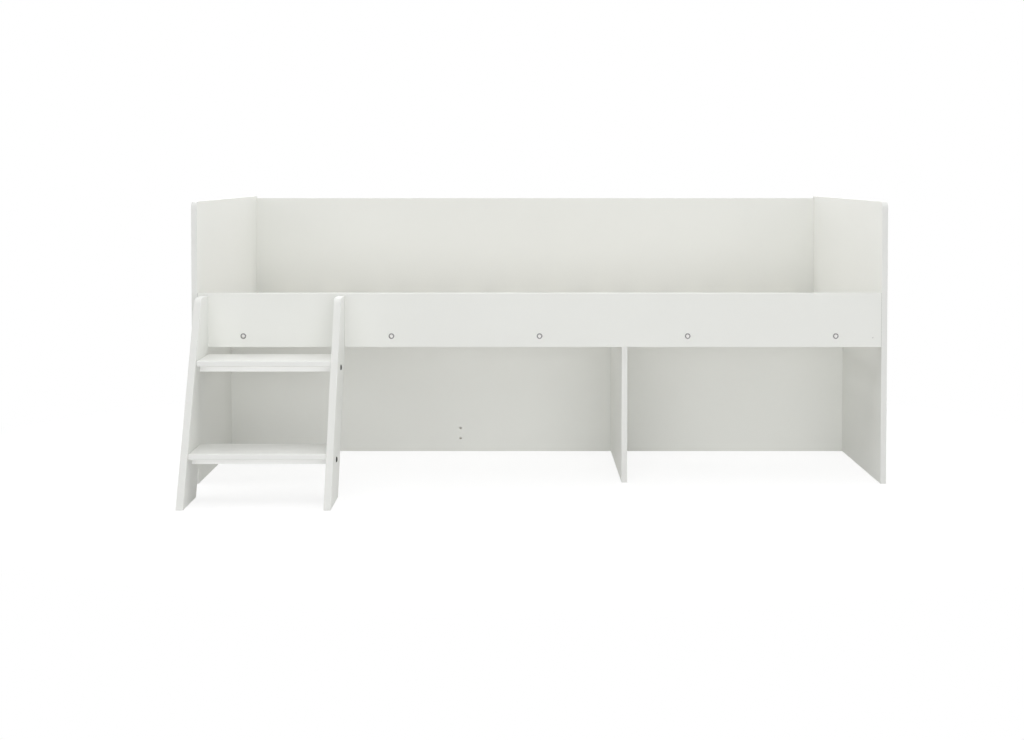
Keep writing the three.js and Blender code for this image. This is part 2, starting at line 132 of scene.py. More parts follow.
def new_group(name, inputs, outputs):
    """A shader node group. Inputs map a name to a float or a vector, outputs a name to a type."""
    tree = bpy.data.node_groups.new(name, "ShaderNodeTree")
    for socket_name, value in inputs.items():
        kind = "NodeSocketFloat" if isinstance(value, (int, float)) else "NodeSocketVector"
        socket = tree.interface.new_socket(socket_name, in_out="INPUT", socket_type=kind)
        socket.default_value = value
    for socket_name, kind in outputs.items():
        tree.interface.new_socket(socket_name, in_out="OUTPUT", socket_type=kind)
    entry = tree.nodes.new("NodeGroupInput")
    result = tree.nodes.new("NodeGroupOutput")
    return tree, entry.outputs, result.inputs


def place_group(tree, group, **values):
    node = tree.nodes.new("ShaderNodeGroup")
    node.node_tree = group
    for name, value in values.items():
        node.inputs[name.replace("_", " ")].default_value = value
    return node


def math_node(tree, operation, a, b=None, clamp=False):
    """A Math node. An operand is a socket, which is linked, or a number."""
    node = add_node(tree, "ShaderNodeMath", {"operation": operation, "use_clamp": clamp})
    for socket, value in zip(node.inputs, (a, b)):
        if isinstance(value, bpy.types.NodeSocket):
            tree.links.new(value, socket)
        elif value is not None:
            socket.default_value = value
    return node.outputs["Value"]


def mix_colour(tree, factor, a, b):
    """Blends two colours. Each is a socket or an RGBA tuple, and the factor is a socket."""
    node = add_node(tree, "ShaderNodeMix", {"data_type": "RGBA"})
    tree.links.new(factor, node.inputs["Factor"])
    for socket, value in ((node.inputs[6], a), (node.inputs[7], b)):
        if isinstance(value, bpy.types.NodeSocket):
            tree.links.new(value, socket)
        else:
            socket.default_value = value
    return node.outputs[2]


def ramp(tree, value, low, high, out_low=0.0, out_high=1.0):
    """Maps a value from one range to another and holds it there, with soft ends."""
    node = add_node(tree, "ShaderNodeMapRange", {"interpolation_type": "SMOOTHSTEP"})
    limits = {"From Min": low, "From Max": high, "To Min": out_low, "To Max": out_high}
    for name, number in limits.items():
        node.inputs[name].default_value = number
    tree.links.new(value, node.inputs["Value"])
    return node.outputs["Result"]


def place(tree):
    """The point being shaded, in metres, in its object's frame, which for a solid is the bed's."""
    return tree.nodes.new("ShaderNodeTexCoord").outputs["Object"]


# %% [markdown]
# ## Coated board
#
# Melamine-faced board has a very fine pebbled skin that breaks up its shine. Noise of about a
# millimetre tilts the light and breaks the gloss. Broad noise shifts the tone and the gloss a
# little, as on any large sheet that has been handled.

# %% Node group: pebbled skin
skin_group, group_in, group_out = new_group(
    "pebbled_skin", {"Pebbles per metre": 900.0},
    {"Height": "NodeSocketFloat", "Gloss break": "NodeSocketFloat"},
)
pebbles = add_node(skin_group, "ShaderNodeTexNoise", Detail=3.0, Roughness=0.55)
skin_group.links.new(place(skin_group), pebbles.inputs["Vector"])
skin_group.links.new(group_in["Pebbles per metre"], pebbles.inputs["Scale"])
skin_group.links.new(pebbles.outputs["Fac"], group_out["Height"])
skin_group.links.new(ramp(skin_group, pebbles.outputs["Fac"], 0.35, 0.65), group_out["Gloss break"])

# %% Node group: handling
handling_group, group_in, group_out = new_group(
    "handling", {"Clouds per metre": 2.0, "Smears per metre": 9.0},
    {"Tone": "NodeSocketFloat", "Smear": "NodeSocketFloat"},
)
clouds = add_node(handling_group, "ShaderNodeTexNoise", Detail=4.0, Roughness=0.6)
smears = add_node(handling_group, "ShaderNodeTexNoise", Detail=4.0, Roughness=0.55)
for texture, socket in ((clouds, "Clouds per metre"), (smears, "Smears per metre")):
    handling_group.links.new(place(handling_group), texture.inputs["Vector"])
    handling_group.links.new(group_in[socket], texture.inputs["Scale"])
clouded = ramp(handling_group, clouds.outputs["Fac"], 0.3, 0.7)
smeared = ramp(handling_group, smears.outputs["Fac"], 0.52, 0.74)
handling_group.links.new(clouded, group_out["Tone"])
handling_group.links.new(smeared, group_out["Smear"])

# %% [markdown]
# ## Wear and dust
#
# Arrises are knocked first, and dust lies on what faces up. The arris is real geometry, a narrow
# bevel that has a material slot of its own, so its wear needs only to be patchy. Dust asks the
# surface which way it faces.

# %% Node group: patchy wear
wear_group, group_in, group_out = new_group(
    "patchy_wear", {"Patches per metre": 60.0, "Amount": 0.5}, {"Wear": "NodeSocketFloat"},
)
patches = add_node(wear_group, "ShaderNodeTexNoise", Detail=5.0, Roughness=0.7)
wear_group.links.new(place(wear_group), patches.inputs["Vector"])
wear_group.links.new(group_in["Patches per metre"], patches.inputs["Scale"])
patchy = ramp(wear_group, patches.outputs["Fac"], 0.5, 0.72)
worn_share = math_node(wear_group, "MULTIPLY", patchy, group_in["Amount"])
wear_group.links.new(worn_share, group_out["Wear"])

# %% Node group: settled dust
dust_group, group_in, group_out = new_group(
    "settled_dust", {"Amount": 0.3}, {"Dust": "NodeSocketFloat"},
)
facing = add_node(dust_group, "ShaderNodeSeparateXYZ")
surface = dust_group.nodes.new("ShaderNodeNewGeometry")
dust_group.links.new(surface.outputs["Normal"], facing.inputs[0])
drift = add_node(dust_group, "ShaderNodeTexNoise", Scale=35.0, Detail=6.0, Roughness=0.7)
dust_group.links.new(place(dust_group), drift.inputs["Vector"])
upward = ramp(dust_group, facing.outputs["Z"], 0.7, 0.98)
lying = math_node(dust_group, "MULTIPLY", upward, ramp(dust_group, drift.outputs["Fac"], 0.4, 0.75))
dusty_share = math_node(dust_group, "MULTIPLY", lying, group_in["Amount"])
dust_group.links.new(dusty_share, group_out["Dust"])
print("groups:", [group.name for group in bpy.data.node_groups])

# %% [markdown]
# ## Edge band
#
# The faces of these boards are coated off-white, and the sawn edges are closed with a strip of
# plain plastic that is a touch greyer. The strip is wherever the surface looks away from the
# board's thin direction, so the object's own normal is enough to find it.

# %% Node group: edge band
band_group, group_in, group_out = new_group(
    "edge_band", {"Thin direction": (1.0, 0.0, 0.0)}, {"Band": "NodeSocketFloat"},
)
across = add_node(band_group, "ShaderNodeVectorMath", {"operation": "DOT_PRODUCT"})
own_normal = band_group.nodes.new("ShaderNodeTexCoord").outputs["Normal"]
band_group.links.new(own_normal, across.inputs[0])
band_group.links.new(group_in["Thin direction"], across.inputs[1])
facing_out = math_node(band_group, "ABSOLUTE", across.outputs["Value"])
band_group.links.new(ramp(band_group, facing_out, 0.5, 0.8, 1, 0), group_out["Band"])

# %% [markdown]
# ## Joint line
#
# Where the rail butts against the end panels, the two arrises leave a fine groove that light hardly
# enters and that gathers dust. It is narrower than the light's sampling, so the board is given a
# dim line at its ends, as wide as the arris: painted shade for the groove, with its dust.

# %% Node group: joint line
joint_group, group_in, group_out = new_group(
    "joint_line", {"Half length": 1.0, "Width": 0.001}, {"Joint": "NodeSocketFloat"},
)
joint_place = add_node(joint_group, "ShaderNodeSeparateXYZ")
joint_group.links.new(place(joint_group), joint_place.inputs[0])
from_middle = math_node(joint_group, "ABSOLUTE", joint_place.outputs["X"])
from_end = math_node(joint_group, "SUBTRACT", group_in["Half length"], from_middle)
in_groove = math_node(joint_group, "LESS_THAN", from_end, group_in["Width"])
joint_group.links.new(in_groove, group_out["Joint"])

# %% [markdown]
# ## White board
#
# One function makes every white coated board. What is the same all over, such as the refractive
# index, goes straight on the shader, and only what changes over the surface comes through nodes. A
# drilled board shows its chip core inside its holes: whatever lies deeper in the board than its
# skin is core. The centre panel's core is painted paler than chipboard, painted light that keeps
# the shade in its holes faint. The rail's one shallow mark is painted dark, as painted shade in it.

# %% Node group: chip core
core_group, group_in, group_out = new_group(
    "chip_core", {"Low corner": (0.0, 0.0, 0.0), "High corner": (1.0, 1.0, 1.0)},
    {"Core": "NodeSocketFloat", "Chips": "NodeSocketFloat"},
)
SKIN_DEPTH = 1.2 * MM
inside = None
above_low = add_node(core_group, "ShaderNodeVectorMath", {"operation": "SUBTRACT"})
below_high = add_node(core_group, "ShaderNodeVectorMath", {"operation": "SUBTRACT"})
core_place = place(core_group)
core_group.links.new(core_place, above_low.inputs[0])
core_group.links.new(group_in["Low corner"], above_low.inputs[1])
core_group.links.new(group_in["High corner"], below_high.inputs[0])
core_group.links.new(core_place, below_high.inputs[1])
for difference in (above_low, below_high):
    parts = add_node(core_group, "ShaderNodeSeparateXYZ")
    core_group.links.new(difference.outputs[0], parts.inputs[0])
    for axis in "XYZ":
        deep = math_node(core_group, "GREATER_THAN", parts.outputs[axis], SKIN_DEPTH)
        inside = deep if inside is None else math_node(core_group, "MULTIPLY", inside, deep)
core_group.links.new(inside, group_out["Core"])
chips = add_node(core_group, "ShaderNodeTexVoronoi", Scale=700.0)
core_group.links.new(core_place, chips.inputs["Vector"])
core_group.links.new(chips.outputs["Distance"], group_out["Chips"])


# %% Make a white board finish
DUST_COLOUR = (0.62, 0.60, 0.55, 1)
WORN_COLOUR = (0.55, 0.53, 0.48, 1)
JOINT_WIDTH = 0.8 * MM
JOINT_SHADE = (0.42, 0.42, 0.40, 1)
END_BAND = (0.802, 0.807, 0.787, 1)
# The divider's edge band is painted lighter than the end panels' band: painted light for the extra
# light on its front edge.
DIVIDER_BAND_PAINTED_LIGHTER = (0.835, 0.839, 0.818, 1)
STRINGER_BAND = (0.802, 0.807, 0.783, 1)
TREAD_BAND = (0.848, 0.852, 0.833, 1)
# The chip core is painted paler than chipboard: painted light that keeps the shade in the holes
# faint.
CHIP_CORE_PAINTED_LIGHT = (0.82, 0.80, 0.76, 1), (0.92, 0.905, 0.88, 1)
# The rail mark's core is painted dark: painted shade in its shallow hollow.
MARK_PAINTED_SHADE = (0.48, 0.47, 0.46, 1), (0.58, 0.57, 0.56, 1)


def board_material(name, colour, shade, roughness, dust, wear=0.0, drilled=None,
                   core_tones=CHIP_CORE_PAINTED_LIGHT, thin=None, band_colour=END_BAND, butted=None):
    """White coated board.

    shade is its darker tone, thin the direction that its edge band goes round, drilled the node
    whose holes show the core in its two tones, and butted the node whose ends meet other boards.
    """
    material = bpy.data.materials.new(name)
    material.use_nodes = True
    tree = material.node_tree
    shader = tree.nodes["Principled BSDF"]
    shader.inputs["IOR"].default_value = 1.5
    skin = place_group(tree, skin_group)
    handling = place_group(tree, handling_group)
    settled = place_group(tree, dust_group, Amount=dust)

    base = mix_colour(tree, handling.outputs["Tone"], shade, colour)
    if thin:
        band = place_group(tree, band_group, Thin_direction=thin)
        base = mix_colour(tree, band.outputs["Band"], base, band_colour)
    base = mix_colour(tree, settled.outputs["Dust"], base, DUST_COLOUR)
    if wear:
        worn = place_group(tree, wear_group, Amount=wear)
        base = mix_colour(tree, worn.outputs["Wear"], base, WORN_COLOUR)
    if drilled:
        low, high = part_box(drilled)
        core = place_group(tree, core_group, Low_corner=low, High_corner=high)
        chips = mix_colour(tree, core.outputs["Chips"], *core_tones)
        base = mix_colour(tree, core.outputs["Core"], base, chips)
    if butted:
        joint = place_group(tree, joint_group, Half_length=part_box(butted)[1].x, Width=JOINT_WIDTH)
        # Painted shade of the joint's groove, with its dust, along the board's ends.
        base = mix_colour(tree, joint.outputs["Joint"], base, JOINT_SHADE)
    tree.links.new(base, shader.inputs["Base Color"])

    gloss = ramp(tree, handling.outputs["Smear"], 0, 1, roughness, roughness - 0.03)
    broken = math_node(tree, "MULTIPLY", skin.outputs["Gloss break"], 0.06)
    dulled = math_node(tree, "MULTIPLY", settled.outputs["Dust"], 0.4)
    rough = math_node(tree, "ADD", math_node(tree, "ADD", gloss, broken), dulled, clamp=True)
    tree.links.new(rough, shader.inputs["Roughness"])

    bump = add_node(tree, "ShaderNodeBump", Strength=0.2, Distance=0.1 * MM)
    tree.links.new(skin.outputs["Height"], bump.inputs["Height"])
    tree.links.new(bump.outputs["Normal"], shader.inputs["Normal"])
    return material


WHITE = (0.848, 0.855, 0.824, 1)
WHITE_SHADE = (0.837, 0.844, 0.813, 1)
# The arris colour is lighter than the face: a painted highlight along the arrises.
ARRIS_PAINTED_HIGHLIGHT = (0.872, 0.879, 0.850, 1)
LADDER_WHITE = (0.850, 0.857, 0.828, 1)
LADDER_SHADE = (0.839, 0.846, 0.818, 1)
TREAD_WHITE = (0.888, 0.894, 0.867, 1)
TREAD_SHADE = (0.877, 0.883, 0.856, 1)
BEARER_WHITE = (0.970, 0.972, 0.960, 1)
BEARER_SHADE = (0.960, 0.962, 0.950, 1)

ACROSS_X, ACROSS_Y, ACROSS_Z = (1, 0, 0), (0, 1, 0), (0, 0, 1)


def bed_finishes(name, thin, drilled=None, core_tones=CHIP_CORE_PAINTED_LIGHT, band=END_BAND, butted=None):
    """The face finish of a bed board, and its arris finish, which is worn and painted lighter as a
    highlight.
    """
    shared = {"thin": thin, "band_colour": band, "butted": butted}
    bored = {"drilled": drilled, "core_tones": core_tones}
    face = board_material(name, WHITE, WHITE_SHADE, 0.50, 0.06, **bored, **shared)
    arris = board_material(f"{name}_arris", ARRIS_PAINTED_HIGHLIGHT, WHITE, 0.40, 0.06, wear=0.08, **shared)
    return face, arris


end_finishes = bed_finishes("white_end", ACROSS_X)
# The divider gets the same edge band, painted lighter as painted light.
divider_finishes = bed_finishes("white_divider", ACROSS_X, band=DIVIDER_BAND_PAINTED_LIGHTER)
back_finishes = bed_finishes("white_back", ACROSS_Y)
# The rail's shallow mark is painted dark, as painted shade.
rail_finishes = bed_finishes(
    "white_rail", ACROSS_Y, drilled=RAIL, core_tones=MARK_PAINTED_SHADE, butted=RAIL,
)
# The centre panel's holes show the paler core, which is painted light.
centre_finishes = bed_finishes("white_centre", ACROSS_Y, drilled=CENTRE)
stringer_band = {"thin": ACROSS_X, "band_colour": STRINGER_BAND}
stringer_finish = board_material(
    "stringer_board", LADDER_WHITE, LADDER_SHADE, 0.48, 0.08, **stringer_band,
)
# Painted highlight: the stringers' arrises are coloured lighter than their faces.
stringer_arris = board_material(
    "stringer_arris", ARRIS_PAINTED_HIGHLIGHT, LADDER_WHITE, 0.40, 0.08, wear=0.10, **stringer_band,
)
tread_band = {"thin": ACROSS_Z, "band_colour": TREAD_BAND}
tread_finish = board_material("tread_board", TREAD_WHITE, TREAD_SHADE, 0.48, 0.08, **tread_band)
tread_arris = board_material(
    "tread_arris", TREAD_WHITE, TREAD_SHADE, 0.40, 0.08, wear=0.10, **tread_band,
)
bearer_finish = board_material("bearer_board", BEARER_WHITE, BEARER_SHADE, 0.30, 0.0)
bearer_arris = board_material("bearer_arris", BEARER_WHITE, BEARER_SHADE, 0.30, 0.0, wear=0.05)
for finish in (bearer_finish, bearer_arris):
    finish.node_tree.nodes["Principled BSDF"].inputs["Coat Weight"].default_value = 1.0

# %% [markdown]
# ## Soft arrises
#
# No real board has a knife edge, and a thin line of light along each arris is what makes it look
# solid. The solids come in as loose triangles, so modifiers run in turn: Weld joins the
# corners, a planar Decimate clears the flat faces, and Bevel rounds what is left. The bevel's
# faces go to the second material slot, which is the worn one. On the bed boards and stringers it
# is also painted lighter, a painted highlight. A fourth modifier, Weighted Normal, lets the large
# flat faces set the shading at their corners. Without it they would show faint long creases.

# %% Round the boards' arrises
WELD_DISTANCE = 0.01 * MM
FLAT_ANGLE = math.radians(0.5)
ARRIS_ANGLE = math.radians(40)


def soften(name, width, face, arris):
    """Rounds a board's arrises by a width and gives it a face finish and an arris finish."""
    board = nodes[name]
    board.data.materials.clear()
    board.data.materials.append(face)
    board.data.materials.append(arris)
    weld = board.modifiers.new("weld", "WELD")
    weld.merge_threshold = WELD_DISTANCE
    clear = board.modifiers.new("clear", "DECIMATE")
    clear.decimate_type = "DISSOLVE"
    clear.angle_limit = FLAT_ANGLE
    bevel = board.modifiers.new("arris", "BEVEL")
    bevel.width = width
    bevel.segments = 3
    bevel.limit_method = "ANGLE"
    bevel.angle_limit = ARRIS_ANGLE
    bevel.material = 1
    level = board.modifiers.new("level", "WEIGHTED_NORMAL")
    level.weight = 100
    board.data.polygons.foreach_set("use_smooth", [True] * len(board.data.polygons))
    return board


BED_ARRIS = 0.8 * MM
LADDER_ARRIS = 2.5 * MM
BEARER_ARRIS = 1.0 * MM
for name in END_PANELS:
    soften(name, BED_ARRIS, *end_finishes)
soften(DIVIDER, BED_ARRIS, *divider_finishes)
soften(RAIL, BED_ARRIS, *rail_finishes)
soften(BACK, BED_ARRIS, *back_finishes)
soften(CENTRE, BED_ARRIS, *centre_finishes)
for name in STRINGERS:
    soften(name, LADDER_ARRIS, stringer_finish, stringer_arris)
for name in TREADS:
    soften(name, LADDER_ARRIS, tread_finish, tread_arris)
for name in BEARERS:
    soften(name, BEARER_ARRIS, bearer_finish, bearer_arris)

# %% [markdown]
# ## Pine
#
# A sawn board is a slice through a tree's rings. Rings round an axis that is nearly parallel to
# the board give long streaks that close in tall arches, and a little noise bends them. Each slat
# takes its slice elsewhere in the log, so no two look alike. A thin white wash pales the colour, as
# the neutral light on the boards above the slats asks for.

# %% Node group: wood grain
grain_group, group_in, group_out = new_group(
    "wood_grain", {"Along": (0.0, 0.0, 0.0)},
    {"Rings": "NodeSocketFloat", "Fibre": "NodeSocketFloat", "Knot": "NodeSocketFloat"},
)
LOG_OFFSET = {"X": 0.11, "Y": 0.9, "Z": 0.05}
LOG_TILT = (math.radians(1.6), 0, math.radians(2.2))
LOG_MIDDLE = (0.012, 0, 0.034)
FIBRES_PER_METRE = (900, 14, 900)
KNOTS_PER_METRE = (9, 3.2, 9)
luck = grain_group.nodes.new("ShaderNodeObjectInfo").outputs["Random"]
offset = add_node(grain_group, "ShaderNodeCombineXYZ")
for axis, share in LOG_OFFSET.items():
    grain_group.links.new(math_node(grain_group, "MULTIPLY", luck, share), offset.inputs[axis])
shifted = add_node(grain_group, "ShaderNodeVectorMath", {"operation": "ADD"})
grain_group.links.new(group_in["Along"], shifted.inputs[0])
grain_group.links.new(offset.outputs[0], shifted.inputs[1])
log = add_node(grain_group, "ShaderNodeMapping", {"vector_type": "POINT"})
log.inputs["Rotation"].default_value = LOG_TILT
log.inputs["Location"].default_value = LOG_MIDDLE
grain_group.links.new(shifted.outputs[0], log.inputs["Vector"])
rings = add_node(
    grain_group, "ShaderNodeTexWave",
    {"wave_type": "RINGS", "rings_direction": "Y", "wave_profile": "SAW"},
    Scale=46.0, Distortion=1.8, Detail=1.0, Detail_Scale=1.0, Detail_Roughness=0.3,
)
grain_group.links.new(log.outputs[0], rings.inputs["Vector"])
grain_group.links.new(rings.outputs["Fac"], group_out["Rings"])

stretched = add_node(grain_group, "ShaderNodeMapping", {"vector_type": "POINT"})
stretched.inputs["Scale"].default_value = FIBRES_PER_METRE
grain_group.links.new(shifted.outputs[0], stretched.inputs["Vector"])
fibres = add_node(grain_group, "ShaderNodeTexNoise", Scale=1.0, Detail=4.0, Roughness=0.6)
grain_group.links.new(stretched.outputs[0], fibres.inputs["Vector"])
grain_group.links.new(fibres.outputs["Fac"], group_out["Fibre"])

knot_spacing = add_node(grain_group, "ShaderNodeMapping", {"vector_type": "POINT"})
knot_spacing.inputs["Scale"].default_value = KNOTS_PER_METRE
grain_group.links.new(shifted.outputs[0], knot_spacing.inputs["Vector"])
knots = add_node(grain_group, "ShaderNodeTexVoronoi", Scale=1.0, Randomness=1.0)
grain_group.links.new(knot_spacing.outputs[0], knots.inputs["Vector"])
knotty = ramp(grain_group, knots.outputs["Distance"], 0.07, 0.13, 1, 0)
grain_group.links.new(knotty, group_out["Knot"])


# %% Make the pine finish
PINE_EARLY = (0.890, 0.868, 0.815, 1)
PINE_LATE = (0.815, 0.775, 0.690, 1)
PINE_KNOT = (0.500, 0.400, 0.300, 1)


def pine_material(name, turn):
    """Washed pine. turn is the rotation about Z that lays the grain along the piece."""
    material = bpy.data.materials.new(name)
    material.use_nodes = True
    tree = material.node_tree
    shader = tree.nodes["Principled BSDF"]
    shader.inputs["IOR"].default_value = 1.45
    turned = add_node(tree, "ShaderNodeMapping", {"vector_type": "POINT"})
    turned.inputs["Rotation"].default_value = (0, 0, turn)
    tree.links.new(place(tree), turned.inputs["Vector"])
    grain = place_group(tree, grain_group)
    tree.links.new(turned.outputs[0], grain.inputs["Along"])
    settled = place_group(tree, dust_group, Amount=0.2)

    late = ramp(tree, grain.outputs["Rings"], 0.35, 1.0)
    base = mix_colour(tree, late, PINE_EARLY, PINE_LATE)
    pale = ramp(tree, grain.outputs["Fibre"], 0.3, 0.8, 0.0, 0.25)
    base = mix_colour(tree, pale, base, PINE_EARLY)
    base = mix_colour(tree, grain.outputs["Knot"], base, PINE_KNOT)
    base = mix_colour(tree, settled.outputs["Dust"], base, DUST_COLOUR)
    tree.links.new(base, shader.inputs["Base Color"])
    tree.links.new(ramp(tree, late, 0, 1, 0.62, 0.50), shader.inputs["Roughness"])

    relief = math_node(tree, "ADD", grain.outputs["Fibre"], math_node(tree, "MULTIPLY", late, 0.5))
    bump = add_node(tree, "ShaderNodeBump", Strength=0.25, Distance=0.15 * MM)
    tree.links.new(relief, bump.inputs["Height"])
    tree.links.new(bump.outputs["Normal"], shader.inputs["Normal"])
    return material


slat_finish = pine_material("pine_slat", 0.0)
ledger_finish = pine_material("pine_ledger", math.pi / 2)
PINE_ARRIS = 1.2 * MM
for name in SLATS:
    soften(name, PINE_ARRIS, slat_finish, slat_finish)
for name in LEDGERS:
    soften(name, PINE_ARRIS, ledger_finish, ledger_finish)
print("softened", sum(bool(node.modifiers) for node in nodes.values()), "boards and slats")

# %% [markdown]
# ## Plated steel
#
# Nickel and zinc plating are smooth metals with hair scratches. Nickel is bright and a little
# warm, zinc is duller and blotched, and the ladder's bolts are darkened steel. All come from one
# group that gives a scratch mask and a blotch mask. A mushroom head shows as a bright disc in a
# grey ring: the crown is polished nickel, and the ring is painted shade for the dark that its
# steep rim reflects.

# %% Node group: plating
plating_group, group_in, group_out = new_group(
    "plating", {"Scratches per metre": 2500.0},
    {"Scratch": "NodeSocketFloat", "Blotch": "NodeSocketFloat"},
)
HAIR_STRETCH = (1.0, 0.12, 0.35)
hair = add_node(plating_group, "ShaderNodeMapping", {"vector_type": "POINT"})
hair.inputs["Scale"].default_value = HAIR_STRETCH
plating_group.links.new(place(plating_group), hair.inputs["Vector"])
scratches = add_node(plating_group, "ShaderNodeTexNoise", Detail=2.0)
plating_group.links.new(hair.outputs[0], scratches.inputs["Vector"])
plating_group.links.new(group_in["Scratches per metre"], scratches.inputs["Scale"])
scratched = ramp(plating_group, scratches.outputs["Fac"], 0.5, 0.75)
plating_group.links.new(scratched, group_out["Scratch"])
blotches = add_node(plating_group, "ShaderNodeTexNoise", Scale=320.0, Detail=3.0)
plating_group.links.new(place(plating_group), blotches.inputs["Vector"])
blotched = ramp(plating_group, blotches.outputs["Fac"], 0.4, 0.7)
plating_group.links.new(blotched, group_out["Blotch"])


# %% Make the plated finishes
# The grey of a head's rim is painted shade, for the dark that a steep rim of polished metal
# reflects.
PAINTED_RIM_SHADE = (0.31, 0.31, 0.31, 1)


def painted_rim_shade(tree, polished, outer):
    """Painted shade on a turned piece's rim: zero near its axis, one past the outer of two
    distances.
    """
    on_axis = add_node(tree, "ShaderNodeVectorMath", {"operation": "MULTIPLY"})
    tree.links.new(place(tree), on_axis.inputs[0])
    on_axis.inputs[1].default_value = (1, 0, 1)
    distance = add_node(tree, "ShaderNodeVectorMath", {"operation": "LENGTH"})
    tree.links.new(on_axis.outputs[0], distance.inputs[0])
    return ramp(tree, distance.outputs["Value"], polished, outer)


def metal_material(name, bright, dull, roughness, spread, rim=None):
    """Plated steel.

    spread is how much the roughness rises in scratches and blotches, and rim the two distances
    from the axis where the painted shade on a rim begins and where it is full.
    """
    material = bpy.data.materials.new(name)
    material.use_nodes = True
    tree = material.node_tree
    shader = tree.nodes["Principled BSDF"]
    shader.inputs["Metallic"].default_value = 1.0
    plating = place_group(tree, plating_group)
    base = mix_colour(tree, plating.outputs["Blotch"], bright, dull)
    if rim:
        # Painted shade: the rim of a head is darkened in its colour.
        base = mix_colour(tree, painted_rim_shade(tree, *rim), base, PAINTED_RIM_SHADE)
    tree.links.new(base, shader.inputs["Base Color"])
    scratch, blotch = plating.outputs["Scratch"], plating.outputs["Blotch"]
    marks = math_node(tree, "ADD", scratch, blotch, clamp=True)
    rough = ramp(tree, marks, 0, 1, roughness, roughness + spread)
    tree.links.new(rough, shader.inputs["Roughness"])
    bump = add_node(tree, "ShaderNodeBump", Strength=0.08, Distance=0.02 * MM)
    tree.links.new(plating.outputs["Scratch"], bump.inputs["Height"])
    tree.links.new(bump.outputs["Normal"], shader.inputs["Normal"])
    return material


# Where the painted rim shade on a mushroom head begins and where it is full, from its axis.
RIM_SHADE_RADII = (4.0 * MM, 5.2 * MM)
NICKEL_TONES = (0.80, 0.79, 0.77, 1), (0.70, 0.69, 0.67, 1)
DARK_TONES = (0.022, 0.022, 0.021, 1), (0.014, 0.014, 0.014, 1)
ZINC_TONES = (0.62, 0.63, 0.64, 1), (0.45, 0.46, 0.46, 1)
nickel_finish = metal_material("nickel", *NICKEL_TONES, 0.18, 0.16, rim=RIM_SHADE_RADII)
dark_finish = metal_material("dark_steel", *DARK_TONES, 0.42, 0.2)
zinc_finish = metal_material("zinc", *ZINC_TONES, 0.30, 0.22)
for name in BARREL_NUTS + CONNECTORS:
    nodes[name].data.materials.clear()
    nodes[name].data.materials.append(zinc_finish)

# %% [markdown]
# ## Turned hardware
#
# Bolts, nuts, washers, caps and screws are all turned or pressed round an axis. A spin helper
# takes an outline of radius and place, and a piece is made once and set down at each fastener.
# All of them are made along +Y, with the face that they sit on at zero.

# %% Helpers for hardware
TURN_STEPS = 48
SHARP_ANGLE = math.radians(35)


def spin(bm, outline, bored=False, steps=TURN_STEPS):
    """Spins pairs of a radius and a place along Y round the Y axis into a skin.

    Either of a pair may be a function of the angle, as for a hexagon. A radius of zero lies on the
    axis, and a bored piece is closed from its last ring back to its first.
    """
    rings = []
    for radius, along in outline:
        ring = []
        for i in range(1 if radius == 0 else steps):
            angle = 2 * math.pi * i / steps
            reach = radius(angle) if callable(radius) else radius
            height = along(angle) if callable(along) else along
            ring.append(bm.verts.new((reach * math.cos(angle), height, reach * math.sin(angle))))
        rings.append(ring)
    for near, far in zip(rings, rings[1:] + rings[:1] if bored else rings[1:]):
        for i in range(steps):
            j = (i + 1) % steps
            corners = [
                near[i % len(near)], near[j % len(near)], far[j % len(far)], far[i % len(far)],
            ]
            unique = list(dict.fromkeys(corners))
            if len(unique) > 2:
                bm.faces.new(unique)


def hexagon(angle, across_flats):
    """How far a hexagon reaches from its middle at an angle."""
    off_flat = (angle + math.pi / 6) % (math.pi / 3) - math.pi / 6
    return across_flats / 2 / math.cos(off_flat)


def finish_mesh(name, bm, material):
    """Turns a bmesh into mesh data with outward faces, one finish and smooth curved parts."""
    bmesh.ops.recalc_face_normals(bm, faces=bm.faces)
    mesh = bpy.data.meshes.new(name)
    bm.to_mesh(mesh)
    bm.free()
    mesh.materials.append(material)
    mesh.polygons.foreach_set("use_smooth", [True] * len(mesh.polygons))
    mesh.set_sharp_from_angle(angle=SHARP_ANGLE)
    return mesh


def aim(toward):
    """The turn that takes +Y to a direction."""
    return Vector((0, 1, 0)).rotation_difference(Vector(toward)).to_matrix().to_4x4()


def set_down(name, mesh, at, toward):
    """Puts one piece of hardware at a place, pointing a way, and lets it ride with the bed."""
    piece = bpy.data.objects.new(name, mesh)
    bpy.context.scene.collection.objects.link(piece)
    piece.matrix_world = Matrix.Translation(at) @ aim(toward)
    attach(piece, "root")
    return piece


def middle(name):
    low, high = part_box(name)
    return (low + high) / 2


# %% [markdown]
# ## Coach bolts, nuts and washers
#
# A coach bolt has a smooth domed head with no slot, and a square neck that bites into the board so
# that it can't turn. Its nut is pulled up on the ledger from behind, over a washer. The bolt's
# length, head and place are measured from its solid. The thread is a true helix on the part
# that can be seen.

# %% Measure a coach bolt
bolt_low, bolt_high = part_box(RAIL_BOLTS[0])
HEAD_RADIUS = (bolt_high.x - bolt_low.x) / 2
HEAD_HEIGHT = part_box(RAIL)[0].y - bolt_low.y
BOLT_LENGTH = bolt_high.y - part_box(RAIL)[0].y
BOLT_RADIUS = 3 * MM
RIM_HEIGHT = 0.6 * MM
NECK_SIDE = 6.0 * MM
NECK_LENGTH = 3.0 * MM
THREAD_PITCH = 1.0 * MM
THREAD_DEPTH = 0.45 * MM
THREAD_RUNOUT = 0.3 * MM
THREAD_TURNS = 14
print("coach bolt: head", round(HEAD_RADIUS / MM, 2), "by", round(HEAD_HEIGHT / MM, 2),
      "mm, length", round(BOLT_LENGTH / MM, 2), "mm")


